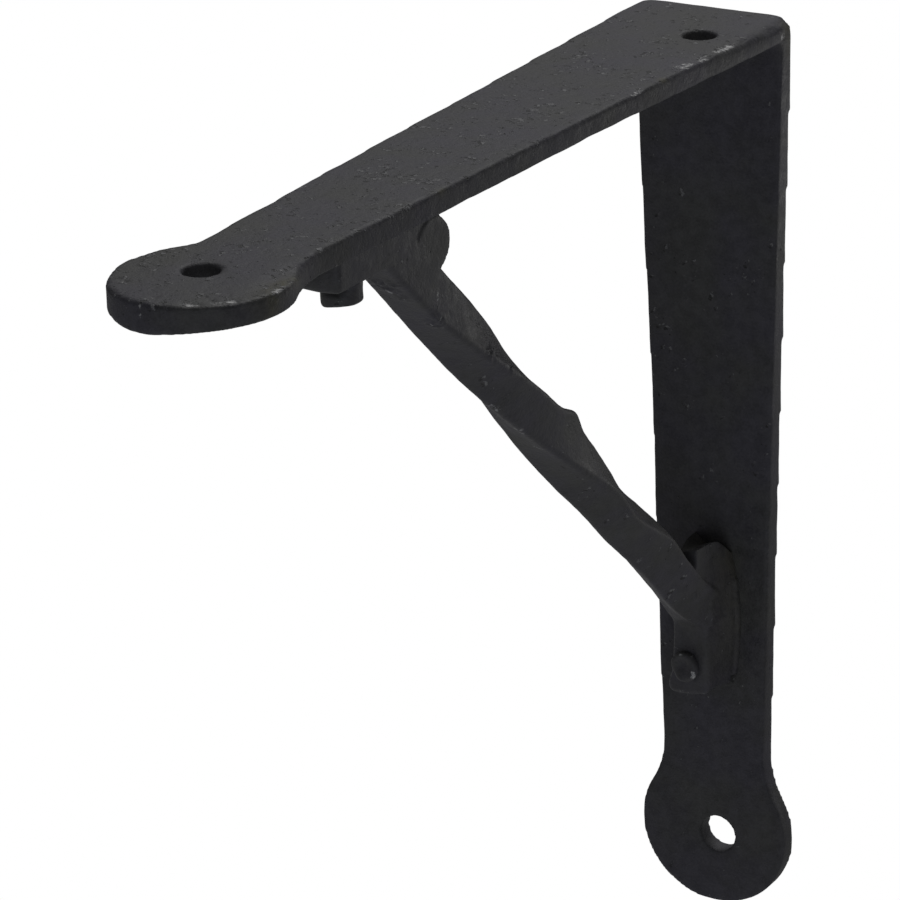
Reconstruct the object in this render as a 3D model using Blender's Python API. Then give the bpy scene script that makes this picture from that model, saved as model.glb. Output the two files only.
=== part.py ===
"""Shelf bracket: a flat bar bent to an L with round ends, and a twisted square brace riveted across it.

Metres, +Z up. The origin is on the wall, halfway down the back of the leg. The wall is the plane
Y = 0, the arm reaches out to -Y, its flat top carries the shelf, and X runs across the bar.
"""
from math import acos, atan2, cos, exp, hypot, pi, radians, sin, sqrt, tan

import bmesh
import bpy
from mathutils import Matrix, Vector

# Driving dimensions of the L bar
LEG_HEIGHT = 0.150
ARM_LENGTH = 0.1535
BAR_THICK = 0.0035
CORNER_WIDTH = 0.0254
CORNER_CUT = 0.0019
EDGE_RADIUS = 0.0008
ARM_TAPER = 0.070
LEG_TAPER = 0.062
TIP_EYE_DIA = 0.0246
FOOT_EYE_DIA = 0.0258
TIP_FILLET = 0.0040
FOOT_FILLET = 0.0110

# How far the eyes stand off the bar's middle line
TIP_LEAN = -0.0002
FOOT_LEAN = -0.0002

# Screw holes: how far from the bar's middle line, and how far out along the arm or down the leg
HOLE_DIA = 0.0054
FOOT_HOLE_DIA = 0.0064
TIP_HOLE = (-0.0016, 0.1392)
CORNER_HOLE = (0.0048, 0.0151)
FOOT_HOLE = (0.0006, 0.1378)

# Driving dimensions of the brace. Distances run from the wall, or down from the shelf face.
BRACE_SIDE = 0.0068
BRACE_EDGE_RADIUS = 0.0011
BEND_RADIUS = 0.0060
UPPER_PAD_END = 0.1158
UPPER_BEND = 0.1006
LOWER_BEND = 0.0970
LOWER_PAD_END = 0.1104
END_ROUND = 0.0012
END_STEPS = (0.0, 0.12, 0.4, 0.75)

# The half turn of the brace: how far along the diagonal, from 0 to 1, and the turn there
TWIST = ((0.03, 0.0), (0.16, 18.0), (0.35, 63.0), (0.51, 110.0), (0.70, 150.0), (0.86, 167.0),
         (0.97, 180.0))

# The round heel that fills the upper bend, on the side of the wall
HEEL_RADIUS = 0.0045
HEEL_OUT = 0.0902
HEEL_DROP = 0.0111
HEEL_REACH = 0.0110
HEEL_SIDE = 0.0002

# A lump that the hammer left on one ridge: how far along the diagonal, and which way it points
LUMP_AT = 0.522
LUMP_TURN = 57.0
LUMP_HIGH = 0.0008
LUMP_SPREAD = 0.0035

# Rivets through the flat ends of the brace: across from the middle line, then along or down
RIVET_DIA = 0.0038
RIVET_HEAD_DIA = 0.0058
RIVET_HEAD_HIGH = 0.0032
UPPER_RIVET = (0.0, 0.1089)
LOWER_RIVET = (-0.0006, 0.1052)

GAP = 0.0003
TOP = LEG_HEIGHT / 2
PAD_MIDDLE = BAR_THICK + GAP + BRACE_SIDE / 2

ARC_STEPS = 12
EYE_STEPS = 40
BEVEL_STEPS = 3
ROUND_STEPS = 32
CORNER_STEPS = 5
DOME_STEPS = 6
STATION = 0.0022
SHARP_ANGLE = radians(40)


def clear_scene():
    for thing in list(bpy.data.objects):
        bpy.data.objects.remove(thing, do_unlink=True)


def make_material(name, colour, roughness, metallic):
    material = bpy.data.materials.new(name)
    material.use_nodes = True
    shader = material.node_tree.nodes["Principled BSDF"]
    shader.inputs["Base Color"].default_value = (*colour, 1.0)
    shader.inputs["Roughness"].default_value = roughness
    shader.inputs["Metallic"].default_value = metallic
    material.diffuse_color = (*colour, 1.0)
    return material


def make_object(name, shape, material=None):
    """Turn a bmesh into an object at the origin, shaded smooth except at its sharp edges."""
    bmesh.ops.recalc_face_normals(shape, faces=shape.faces)
    mesh = bpy.data.meshes.new(name)
    shape.to_mesh(mesh)
    shape.free()
    mesh.shade_smooth()
    mesh.set_sharp_from_angle(angle=SHARP_ANGLE)
    thing = bpy.data.objects.new(name, mesh)
    bpy.context.collection.objects.link(thing)
    if material:
        mesh.materials.append(material)
    return thing


def add_boolean(thing, tool, operation):
    """Cut thing with a tool, or join the tool to it, and keep the tool as a guide only."""
    tool.hide_render = True
    tool.display_type = "WIRE"
    change = thing.modifiers.new(tool.name, "BOOLEAN")
    change.operation = operation
    change.object = tool
    change.solver = "EXACT"


def plate_side(taper, eye_radius, eye_along, fillet_radius):
    """One edge of a tapering bar with a round eye at its end, as (across, along) points.

    It starts at the inner corner of the L and ends at the far point of the eye. A hollow fillet
    leads from the straight edge into the eye.
    """
    slope = taper / 2
    outward = Vector((1.0, slope)).normalized()
    along = Vector((-outward.y, outward.x))
    start = Vector((CORNER_WIDTH / 2 - slope * BAR_THICK, BAR_THICK))
    eye = Vector((0.0, eye_along))
    reach = eye_radius + fillet_radius
    off_line = outward.dot(start - eye) + fillet_radius
    fillet = eye + outward * off_line - along * sqrt(reach ** 2 - off_line ** 2)
    points = [start]
    first = atan2(-outward.y, -outward.x)
    into_eye = fillet - eye
    last = atan2(-into_eye.y, -into_eye.x)
    turn = (last - first + pi) % (2 * pi) - pi
    for step in range(ARC_STEPS + 1):
        angle = first + turn * step / ARC_STEPS
        points.append(fillet + fillet_radius * Vector((cos(angle), sin(angle))))
    from_angle = atan2(into_eye.y, into_eye.x)
    for step in range(1, EYE_STEPS + 1):
        angle = from_angle + (pi / 2 - from_angle) * step / EYE_STEPS
        points.append(eye + eye_radius * Vector((cos(angle), sin(angle))))
    return points


def whole_outline(side, lean):
    """Both edges of a plate, from the right inner corner round the eye to the left one."""
    outline = side + [Vector((-p.x, p.y)) for p in reversed(side[:-1])]
    for point in outline[1:-1]:
        point.x += lean
    return outline


def round_outer_edges(shape):
    """Round every edge that stands out sharply, by the radius that forging leaves."""
    rim = [e for e in shape.edges if e.calc_face_angle_signed(0.0) > SHARP_ANGLE]
    bmesh.ops.bevel(shape, geom=rim, offset=EDGE_RADIUS, segments=BEVEL_STEPS, profile=0.5,
                    affect="EDGES", clamp_overlap=True)


def make_l_bar(material):
    """A flat bar bent square, widest at the corner, with a round eye at the end of each leg."""
    tip_radius = TIP_EYE_DIA / 2
    foot_radius = FOOT_EYE_DIA / 2
    arm_side = plate_side(ARM_TAPER, tip_radius, ARM_LENGTH - tip_radius, TIP_FILLET)
    leg_side = plate_side(LEG_TAPER, foot_radius, LEG_HEIGHT - foot_radius, FOOT_FILLET)
    arm = whole_outline(arm_side, TIP_LEAN)
    leg = whole_outline(leg_side, FOOT_LEAN)
    half = CORNER_WIDTH / 2
    shape = bmesh.new()

    def ring(places):
        return [shape.verts.new(place) for place in places]

    arm_top = ring((p.x, -p.y, TOP) for p in arm)
    arm_under = ring((p.x, -p.y, TOP - BAR_THICK) for p in arm)
    leg_back = ring((p.x, 0.0, TOP - p.y) for p in leg)
    below = ring((p.x, -BAR_THICK, TOP - p.y) for p in leg[1:-1])
    leg_front = [arm_under[0], *below, arm_under[-1]]
    outer = ring((x, 0.0, TOP) for x in (half, -half))

    shape.faces.new([outer[0], *arm_top, outer[1]])
    shape.faces.new(arm_under)
    shape.faces.new([outer[0], *leg_back, outer[1]])
    shape.faces.new(leg_front)
    for near, far in ((arm_top, arm_under), (leg_back, leg_front)):
        for i in range(len(near) - 1):
            shape.faces.new([near[i], near[i + 1], far[i + 1], far[i]])
    for corner, end in ((outer[0], 0), (outer[1], -1)):
        shape.faces.new([corner, arm_top[end], arm_under[end], leg_back[end]])
    bmesh.ops.recalc_face_normals(shape, faces=shape.faces)

    bmesh.ops.bevel(shape, geom=outer, offset=CORNER_CUT, segments=1, affect="VERTICES")
    round_outer_edges(shape)
    return make_object("l_bar", shape, material)


def path_of_brace():
    """Stations from the upper pad's end to the lower pad's end.

    Each is (point, direction, share of the diagonal), as (out, up) pairs in the plane of the L,
    where out is Y and up is Z. Bends are arcs of BEND_RADIUS.
    """
    upper_bend = Vector((-UPPER_BEND, TOP - PAD_MIDDLE))
    lower_bend = Vector((-PAD_MIDDLE, TOP - LOWER_BEND))
    corners = [Vector((-UPPER_PAD_END, upper_bend.y)), upper_bend, lower_bend,
               Vector((lower_bend.x, TOP - LOWER_PAD_END))]
    headings = [(b - a).normalized() for a, b in zip(corners, corners[1:])]
    backs = [BEND_RADIUS * tan(acos(a.dot(b)) / 2) for a, b in zip(headings, headings[1:])]
    stations = []

    def run(start, end, heading, share_a, share_b):
        count = max(2, round((end - start).length / STATION))
        for i in range(count + 1):
            part = i / count
            stations.append((start.lerp(end, part), heading, share_a + (share_b - share_a) * part))

    def bend(corner, back, before, after, share):
        turn = acos(before.dot(after))
        centre = corner - before * back + Vector((before.y, -before.x)) * BEND_RADIUS
        outward = Vector((-before.y, before.x)) * BEND_RADIUS
        for i in range(1, CORNER_STEPS):
            spin = Matrix.Rotation(-turn * i / CORNER_STEPS, 2)
            stations.append((centre + spin @ outward, spin @ before, share))

    run(corners[0], corners[1] - headings[0] * backs[0], headings[0], 0.0, 0.0)
    bend(corners[1], backs[0], headings[0], headings[1], 0.0)
    run(corners[1] + headings[1] * backs[0], corners[2] - headings[1] * backs[1], headings[1], 0.0, 1.0)
    bend(corners[2], backs[1], headings[1], headings[2], 1.0)
    run(corners[2] + headings[2] * backs[1], corners[3], headings[2], 1.0, 1.0)
    return stations


def twist_at(share):
    """The brace's turn about its own middle line, in radians, smooth between the named points."""
    if share <= TWIST[0][0]:
        return radians(TWIST[0][1])
    if share >= TWIST[-1][0]:
        return radians(TWIST[-1][1])
    slopes = [0.0]
    for before, here, after in zip(TWIST, TWIST[1:], TWIST[2:]):
        slopes.append((after[1] - before[1]) / (after[0] - before[0]))
    slopes.append(0.0)
    for (a, turn_a), (b, turn_b), slope_a, slope_b in zip(TWIST, TWIST[1:], slopes, slopes[1:]):
        if share <= b:
            span = b - a
            t = (share - a) / span
            start = (1 + 2 * t) * (1 - t) ** 2 * turn_a + t * (1 - t) ** 2 * span * slope_a
            end = t * t * (3 - 2 * t) * turn_b + t * t * (t - 1) * span * slope_b
            return radians(start + end)
    return 0.0


def square_section(side, edge_radius):
    """A square with rounded corners, as points that turn anticlockwise."""
    points = []
    for quarter in range(4):
        for step in range(CORNER_STEPS):
            angle = (quarter + step / (CORNER_STEPS - 1)) * pi / 2
            middle = pi / 4 + quarter * pi / 2
            flat = (side / 2 - edge_radius) * sqrt(2)
            points.append(Vector((flat * cos(middle) + edge_radius * cos(angle),
                                  flat * sin(middle) + edge_radius * sin(angle))))
    return points


def end_scale(distance):
    """How much smaller the section is near a rounded end."""
    if distance >= END_ROUND:
        return 1.0
    short = 1.0 - distance / END_ROUND
    drop = 1.0 - sqrt(max(0.0, 1.0 - short * short))
    return 1.0 - drop * 2 * END_ROUND / BRACE_SIDE


def lump_height(share, angle):
    """How far the hammer's lump stands out from the brace at this place."""
    length = hypot(UPPER_BEND - PAD_MIDDLE, LOWER_BEND - PAD_MIDDLE)
    off = (share - LUMP_AT) * length / LUMP_SPREAD
    facing = max(0.0, cos(angle - radians(LUMP_TURN)))
    return LUMP_HIGH * exp(-off * off) * facing ** 6


def make_brace(material):
    """A square bar with a half turn of twist, its ends bent flat along the arm and the leg."""
    stations = path_of_brace()
    first, last = stations[0], stations[-1]
    insets = [step * END_ROUND for step in END_STEPS]
    upper_end = [(first[0] + first[1] * inset, first[1], 0.0) for inset in insets]
    lower_end = [(last[0] - last[1] * inset, last[1], 1.0) for inset in reversed(insets)]
    stations = upper_end + stations[1:-1] + lower_end
    section = square_section(BRACE_SIDE, BRACE_EDGE_RADIUS)
    shape = bmesh.new()
    rings = []
    for point, heading, share in stations:
        edge = min((point - first[0]).length, (point - last[0]).length)
        scale = end_scale(edge)
        turn = Matrix.Rotation(twist_at(share), 2)
        outward = Vector((-heading.y, heading.x))
        ring = []
        for corner in section:
            p = turn @ corner * scale
            p += p.normalized() * lump_height(share, atan2(p.y, p.x))
            place = point + outward * p.y
            ring.append(shape.verts.new((p.x, place.x, place.y)))
        rings.append(ring)
    count = len(section)
    for before, after in zip(rings, rings[1:]):
        for i in range(count):
            j = (i + 1) % count
            shape.faces.new([before[i], before[j], after[j], after[i]])
    shape.faces.new(rings[0])
    shape.faces.new(list(reversed(rings[-1])))
    brace = make_object("twisted_brace", shape, material)
    add_boolean(brace, make_heel(), "UNION")
    return brace


def make_heel():
    """The round swelling between the brace's upper bend and the arm."""
    level = TOP - BAR_THICK - GAP
    middle = Vector((-HEEL_OUT, TOP - HEEL_DROP))
    high = acos((level - middle.y) / hypot(HEEL_RADIUS, level - middle.y))
    points = [Vector((middle.x - HEEL_REACH, level)), Vector((middle.x, level))]
    for step in range(ROUND_STEPS // 2 + 1):
        angle = pi / 2 - high + (-pi / 3 - pi / 2 + high) * step / (ROUND_STEPS // 2)
        points.append(middle + HEEL_RADIUS * Vector((cos(angle), sin(angle))))
    points.append(middle + Vector((-HEEL_REACH / 2, -HEEL_RADIUS / 2)))
    half = BRACE_SIDE / 2 - HEEL_SIDE
    shape = bmesh.new()
    right = [shape.verts.new((half, p.x, p.y)) for p in points]
    left = [shape.verts.new((-half, p.x, p.y)) for p in points]
    shape.faces.new(right)
    shape.faces.new(list(reversed(left)))
    for i in range(len(points)):
        j = (i + 1) % len(points)
        shape.faces.new([right[j], right[i], left[i], left[j]])
    bmesh.ops.recalc_face_normals(shape, faces=shape.faces)
    round_outer_edges(shape)
    return make_object("heel", shape)


def add_turned(shape, profile, place):
    """Turn a profile of (radius, height) points about Z, then move it by place."""
    rings = []
    for radius, height in profile:
        if radius == 0.0:
            rings.append([shape.verts.new(place @ Vector((0.0, 0.0, height)))])
            continue
        turns = [2 * pi * i / ROUND_STEPS for i in range(ROUND_STEPS)]
        points = [Vector((radius * cos(turn), radius * sin(turn), height)) for turn in turns]
        rings.append([shape.verts.new(place @ point) for point in points])
    for low, high in zip(rings, rings[1:]):
        for i in range(ROUND_STEPS):
            j = (i + 1) % ROUND_STEPS
            corners = [low[i % len(low)], low[j % len(low)], high[j % len(high)], high[i % len(high)]]
            shape.faces.new(list(dict.fromkeys(corners)))


def make_rivet(name, place, material):
    """A round-headed rivet. Its shank ends level with the bar's outer face, its head is on the pad."""
    head_base = BAR_THICK + BRACE_SIDE + 2 * GAP
    radius = RIVET_HEAD_DIA / 2
    profile = [(0.0, 0.0), (RIVET_DIA / 2, 0.0), (RIVET_DIA / 2, head_base), (radius, head_base)]
    side = RIVET_HEAD_HIGH / 2
    for step in range(DOME_STEPS):
        angle = pi / 2 * step / DOME_STEPS
        profile.append((radius * cos(angle), head_base + side + side * sin(angle)))
    profile.append((0.0, head_base + RIVET_HEAD_HIGH))
    shape = bmesh.new()
    add_turned(shape, profile, place)
    return make_object(name, shape, material)


def make_drill(name, diameter, place, depth):
    shape = bmesh.new()
    radius = diameter / 2
    add_turned(shape, [(0.0, -depth), (radius, -depth), (radius, depth), (0.0, depth)], place)
    return make_object(name, shape)


def through_arm(across, out):
    """A frame at the shelf face with +Z down through the arm."""
    return Matrix.Translation((across, -out, TOP)) @ Matrix.Rotation(pi, 4, "X")


def through_leg(across, down):
    """A frame at the wall with +Z out through the leg, towards -Y."""
    return Matrix.Translation((across, 0.0, TOP - down)) @ Matrix.Rotation(pi / 2, 4, "X")


def build():
    clear_scene()
    bar_black = make_material("blackened_iron_bar", (0.045, 0.045, 0.050), 0.55, 0.6)
    brace_black = make_material("blackened_iron_brace", (0.035, 0.035, 0.040), 0.50, 0.6)
    rivet_black = make_material("blackened_iron_rivet", (0.040, 0.038, 0.042), 0.45, 0.6)

    l_bar = make_l_bar(bar_black)
    brace = make_brace(brace_black)
    short = BAR_THICK * 2
    deep = (BAR_THICK + BRACE_SIDE) * 2
    screw_holes = (
        ("tip_screw_hole", HOLE_DIA, through_arm(*TIP_HOLE)),
        ("corner_screw_hole", HOLE_DIA, through_arm(*CORNER_HOLE)),
        ("foot_screw_hole", FOOT_HOLE_DIA, through_leg(*FOOT_HOLE)),
    )
    for name, diameter, place in screw_holes:
        add_boolean(l_bar, make_drill(name, diameter, place, short), "DIFFERENCE")
    rivets = (
        ("upper", through_arm(*UPPER_RIVET)),
        ("lower", through_leg(*LOWER_RIVET)),
    )
    for name, place in rivets:
        drill = make_drill(name + "_rivet_hole", RIVET_DIA + 2 * GAP, place, deep)
        add_boolean(l_bar, drill, "DIFFERENCE")
        add_boolean(brace, drill, "DIFFERENCE")
        make_rivet(name + "_rivet", place, rivet_black)


build()
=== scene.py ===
import math

import bpy
import numpy as np
from mathutils import Matrix, Vector, noise


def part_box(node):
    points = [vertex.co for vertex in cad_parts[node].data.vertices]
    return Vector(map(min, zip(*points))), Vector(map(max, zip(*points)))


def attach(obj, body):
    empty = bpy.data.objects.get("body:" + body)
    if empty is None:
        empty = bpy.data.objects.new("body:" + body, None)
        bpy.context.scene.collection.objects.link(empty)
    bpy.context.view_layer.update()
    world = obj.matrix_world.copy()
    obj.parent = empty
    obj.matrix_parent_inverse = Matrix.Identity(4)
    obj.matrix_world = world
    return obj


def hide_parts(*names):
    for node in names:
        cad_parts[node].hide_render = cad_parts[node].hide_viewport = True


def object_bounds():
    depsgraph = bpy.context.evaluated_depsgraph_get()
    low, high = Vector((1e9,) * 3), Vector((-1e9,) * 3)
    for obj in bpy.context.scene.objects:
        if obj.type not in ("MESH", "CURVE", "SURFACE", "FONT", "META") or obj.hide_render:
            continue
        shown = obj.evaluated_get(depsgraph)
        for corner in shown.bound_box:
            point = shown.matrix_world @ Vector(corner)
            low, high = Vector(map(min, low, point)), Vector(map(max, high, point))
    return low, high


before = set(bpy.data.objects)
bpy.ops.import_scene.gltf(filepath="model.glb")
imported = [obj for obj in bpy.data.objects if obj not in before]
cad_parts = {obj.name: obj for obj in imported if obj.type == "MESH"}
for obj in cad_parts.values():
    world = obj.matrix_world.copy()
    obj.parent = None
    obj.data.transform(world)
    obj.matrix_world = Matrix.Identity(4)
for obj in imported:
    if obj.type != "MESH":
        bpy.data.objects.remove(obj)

cad_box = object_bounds()

# Camera: the photograph looks down on the bracket from its right, through a long lens. The lens
# stands where the outlines of the photographed bracket and of this one fall on each other.
AIM = Vector((0.0, -0.060, 0.005))
AZIMUTH = math.radians(31.382)
ELEVATION = math.radians(20.956)
ROLL = math.radians(-1.738)
DISTANCE = 0.661816
SIDESTEP = 0.012042
RISE = 0.017104
LENS_MM = 180.0
SENSOR_MM = 36.0

towards_camera = Vector((math.sin(AZIMUTH) * math.cos(ELEVATION),
                         -math.cos(AZIMUTH) * math.cos(ELEVATION), math.sin(ELEVATION)))
level_right = Vector((math.cos(AZIMUTH), math.sin(AZIMUTH), 0.0))
level_up = towards_camera.cross(level_right)
camera_right = level_right * math.cos(ROLL) + level_up * math.sin(ROLL)
camera_up = level_up * math.cos(ROLL) - level_right * math.sin(ROLL)
camera_turn = Matrix((camera_right, camera_up, towards_camera)).transposed()
camera_place = AIM + towards_camera * DISTANCE - camera_right * SIDESTEP + camera_up * RISE
bpy.ops.object.camera_add(location=camera_place, rotation=camera_turn.to_euler())
camera = bpy.context.object
camera.data.lens = LENS_MM
camera.data.sensor_width = SENSOR_MM
camera.data.clip_start = 0.01
bpy.context.scene.camera = camera

# Studio: the bracket hangs free over a pale floor, as it would on a wall. A wide soft light stands
# overhead, a small one close behind its right edge and a faint cool one in front, and the floor
# gives light back.
FLOOR_LEVEL = -0.32
FLOOR_SIDE = 8.0
FLOOR_BOUNCE = 0.31
AMBIENT = 0.13
LIGHTS = (
    ("overhead", Vector((-0.12, 0.38, 0.72)), 0.40, 3.6, (1.0, 1.0, 1.0)),
    ("right", Vector((0.07, 0.095, 0.02)), 0.04, 0.023, (1.0, 0.99, 0.97)),
    ("front", Vector((0.38, -0.92, -0.05)), 0.60, 1.00, (0.80, 0.86, 1.0)),
)


def camera_only(tree, other_value):
    """A strength of 1 where the camera looks and another value for the light that it gives."""
    rays = tree.nodes.new("ShaderNodeLightPath")
    strength = tree.nodes.new("ShaderNodeMapRange")
    strength.inputs["To Min"].default_value = other_value
    strength.inputs["To Max"].default_value = 1.0
    tree.links.new(rays.outputs["Is Camera Ray"], strength.inputs["Value"])
    return strength.outputs["Result"]


bpy.ops.mesh.primitive_plane_add(size=FLOOR_SIDE, location=(0.0, 0.0, FLOOR_LEVEL))
floor = bpy.context.object
floor.name = "floor"
floor_paint = bpy.data.materials.new("floor_paint")
floor_paint.use_nodes = True
floor_shader = floor_paint.node_tree.nodes["Principled BSDF"]
floor_shader.inputs["Base Color"].default_value = (0.0, 0.0, 0.0, 1.0)
floor_shader.inputs["Roughness"].default_value = 1.0
floor_shader.inputs["Specular IOR Level"].default_value = 0.0
floor_shader.inputs["Emission Color"].default_value = (1.0, 1.0, 1.0, 1.0)
floor_paint.node_tree.links.new(camera_only(floor_paint.node_tree, FLOOR_BOUNCE),
                                floor_shader.inputs["Emission Strength"])
floor.data.materials.append(floor_paint)

for name, place, side, watts, tint in LIGHTS:
    bpy.ops.object.light_add(type="AREA", location=place)
    light = bpy.context.object
    light.name = name
    light.data.shape = "SQUARE"
    light.data.size = side
    light.data.energy = watts
    light.data.color = tint
    light.rotation_euler = (place - AIM).to_track_quat("Z", "Y").to_euler()

studio = bpy.data.worlds.new("studio")
studio.use_nodes = True
backdrop = studio.node_tree.nodes["Background"]
backdrop.inputs["Color"].default_value = (1.0, 1.0, 1.0, 1.0)
studio.node_tree.links.new(camera_only(studio.node_tree, AMBIENT), backdrop.inputs["Strength"])
bpy.context.scene.world = studio
bpy.context.scene.view_settings.view_transform = "Standard"


# Bent bar: one flat iron bar, forged square at the corner and drawn out narrower to a round eye at
# each end, drilled for three screws. Its faces are hammered, grainy and blackened, and the edges
# are rubbed bright in a few places.
BAR_THICK = 0.0035
CORNER_WIDTH = 0.0254
CORNER_CUTS = (0.0030, 0.0022)
CORNER_CUT_STEPS = 5
ARM_TAPER = 0.070
LEG_TAPER = 0.062
TIP_EYE_RADIUS = 0.0123
FOOT_EYE_RADIUS = 0.0129
EYE_LEAN = -0.0002
TIP_FILLETS = (0.0220, 0.0090)
FOOT_FILLETS = (0.0150, 0.0150)
ARM_HOLES = ((-0.0016, 0.1392, 0.0025), (0.0048, 0.0151, 0.0025))
LEG_HOLES = ((0.0006, 0.1378, 0.0031),)
FILLET_STEPS = 16
EYE_STEPS = 48
HOLE_SIDES = 64
BAR_VOXEL = 0.00041
BAR_SOFTENING = 3

bar_low, bar_high = (Vector(corner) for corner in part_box("l_bar"))
TOP = bar_high.z
ARM_LENGTH = bar_high.y - bar_low.y
LEG_HEIGHT = bar_high.z - bar_low.z


def activate(piece):
    bpy.ops.object.select_all(action="DESELECT")
    piece.select_set(True)
    bpy.context.view_layer.objects.active = piece


def apply_modifiers(piece):
    activate(piece)
    for modifier in list(piece.modifiers):
        bpy.ops.object.modifier_apply(modifier=modifier.name)


def join(pieces, name):
    """Join several closed shapes into one object, with its place in its mesh."""
    activate(pieces[0])
    for piece in pieces:
        piece.select_set(True)
    bpy.ops.object.join()
    joined = bpy.context.object
    joined.name = name
    joined.data.name = name
    bpy.ops.object.transform_apply(location=True, rotation=True, scale=True)
    return joined


def weld_skin(piece, voxel, softening):
    """Weld a piece's overlapping shapes into one skin of small even faces, its edges softened."""
    remesh = piece.modifiers.new("one_skin", "REMESH")
    remesh.mode = "VOXEL"
    remesh.voxel_size = voxel
    smooth = piece.modifiers.new("soft_edges", "SMOOTH")
    smooth.factor = 0.5
    smooth.iterations = softening
    apply_modifiers(piece)
    bpy.ops.object.shade_smooth()


def drill(piece, place, along, radius, depth):
    """Cut a round hole with a cylinder that is thrown away afterwards."""
    upright = Vector(along).to_track_quat("Z", "Y").to_euler()
    bpy.ops.mesh.primitive_cylinder_add(vertices=HOLE_SIDES, radius=radius, depth=depth,
                                        location=place, rotation=upright)
    cutter = bpy.context.object
    hole = piece.modifiers.new("hole", "BOOLEAN")
    hole.operation = "DIFFERENCE"
    hole.object = cutter
    apply_modifiers(piece)
    bpy.data.objects.remove(cutter)


def tapered_side(taper, eye_radius, length, fillet_radius, corner_cut):
    """The right edge of a tapering bar with an eye at its end, as points (across, along)."""
    slope = taper / 2
    outward = Vector((1.0, slope)).normalized()
    along = Vector((-outward.y, outward.x))
    start = Vector((CORNER_WIDTH / 2, 0.0))
    middle = Vector((0.0, length - eye_radius))
    reach = eye_radius + fillet_radius
    off_line = outward.dot(start - middle) + fillet_radius
    fillet = middle + outward * off_line - along * math.sqrt(reach ** 2 - off_line ** 2)
    into_eye = fillet - middle
    first = math.atan2(-outward.y, -outward.x)
    last = math.atan2(-into_eye.y, -into_eye.x)
    swing = (last - first + math.pi) % (2 * math.pi) - math.pi
    points = []
    for count in range(CORNER_CUT_STEPS + 1):
        angle = math.pi / 2 * (1 - count / CORNER_CUT_STEPS)
        points.append(Vector((start.x - corner_cut, corner_cut))
                      + corner_cut * Vector((math.cos(angle), -math.sin(angle))))
    for count in range(FILLET_STEPS + 1):
        angle = first + swing * count / FILLET_STEPS
        points.append(fillet + fillet_radius * Vector((math.cos(angle), math.sin(angle))))
    begin = math.atan2(into_eye.y, into_eye.x)
    for count in range(1, EYE_STEPS + 1):
        angle = begin + (math.pi / 2 - begin) * count / EYE_STEPS
        points.append(middle + eye_radius * Vector((math.cos(angle), math.sin(angle))))
    return points


def plate(sides, to_place, thickness):
    """A filled circle whose rim is set on a bar's outline, then extruded to its thickness."""
    rim = sides[0] + [Vector((-p.x, p.y)) for p in reversed(sides[1][:-1])]
    bpy.ops.mesh.primitive_circle_add(vertices=len(rim), fill_type="NGON")
    shape = bpy.context.object
    for vertex, point in zip(shape.data.vertices, rim):
        lean = EYE_LEAN if point.y > CORNER_WIDTH / 2 else 0.0
        vertex.co = to_place(point.x + lean, point.y)
    bpy.ops.object.mode_set(mode="EDIT")
    bpy.ops.mesh.select_all(action="SELECT")
    bpy.ops.mesh.extrude_region_move(TRANSFORM_OT_translate={"value": thickness})
    bpy.ops.mesh.select_all(action="SELECT")
    bpy.ops.mesh.normals_make_consistent(inside=False)
    bpy.ops.object.mode_set(mode="OBJECT")
    return shape


arm_sides = [tapered_side(ARM_TAPER, TIP_EYE_RADIUS, ARM_LENGTH, fillet, cut)
             for fillet, cut in zip(TIP_FILLETS, CORNER_CUTS)]
leg_sides = [tapered_side(LEG_TAPER, FOOT_EYE_RADIUS, LEG_HEIGHT, fillet, cut)
             for fillet, cut in zip(FOOT_FILLETS, CORNER_CUTS)]
arm = plate(arm_sides, lambda across, along: (across, -along, TOP), (0.0, 0.0, -BAR_THICK))
leg = plate(leg_sides, lambda across, along: (across, 0.0, TOP - along), (0.0, -BAR_THICK, 0.0))
for across, out, radius in ARM_HOLES:
    drill(arm, (across, -out, TOP), (0, 0, 1), radius, 4 * BAR_THICK)
for across, down, radius in LEG_HOLES:
    drill(leg, (across, 0.0, TOP - down), (0, 1, 0), radius, 4 * BAR_THICK)
bar = join([arm, leg], "bent_bar")
weld_skin(bar, BAR_VOXEL, BAR_SOFTENING)


def skin_of(piece):
    """A piece's vertex places and outward directions as arrays, to shape it by."""
    mesh = piece.data
    places = np.empty(len(mesh.vertices) * 3)
    mesh.vertices.foreach_get("co", places)
    outward = np.empty(len(mesh.vertices) * 3)
    mesh.vertices.foreach_get("normal", outward)
    return places.reshape(-1, 3), outward.reshape(-1, 3)


def reshape(piece, places):
    piece.data.vertices.foreach_set("co", places.ravel())
    piece.data.update()


def rolling(places, size, seed):
    """Smooth noise from -1 to 1 with bumps of about the given size."""
    shift = Vector((seed, 2.0 * seed, 3.0 * seed))
    return np.array([noise.noise(Vector(place) / size + shift) for place in places])


def from_shelf(mm):
    """A place in millimetres, its height counted from the shelf face, as a place in metres."""
    return np.array((mm[0], mm[1], mm[2])) / 1000 + np.array((0.0, 0.0, TOP))


def near(places, centre, reach):
    """1 at a centre, falling smoothly to 0 over the reach. Both are in millimetres."""
    away = np.linalg.norm((places - from_shelf(centre)) / (np.array(reach) / 1000), axis=1)
    return np.exp(-away ** 2)


def cover(places, marks):
    """How strongly a list of marks (centre, reach, strength) covers each vertex, added up."""
    total = np.zeros(len(places))
    for centre, reach, strength in marks:
        total += strength * near(places, centre, reach)
    return total


def hammer(places, blows):
    """Move the skin by a list of blows (centre, reach, move), one after the other."""
    for centre, reach, move in blows:
        places = places + near(places, centre, reach)[:, None] * np.array(move) / 1000
    return places


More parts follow.
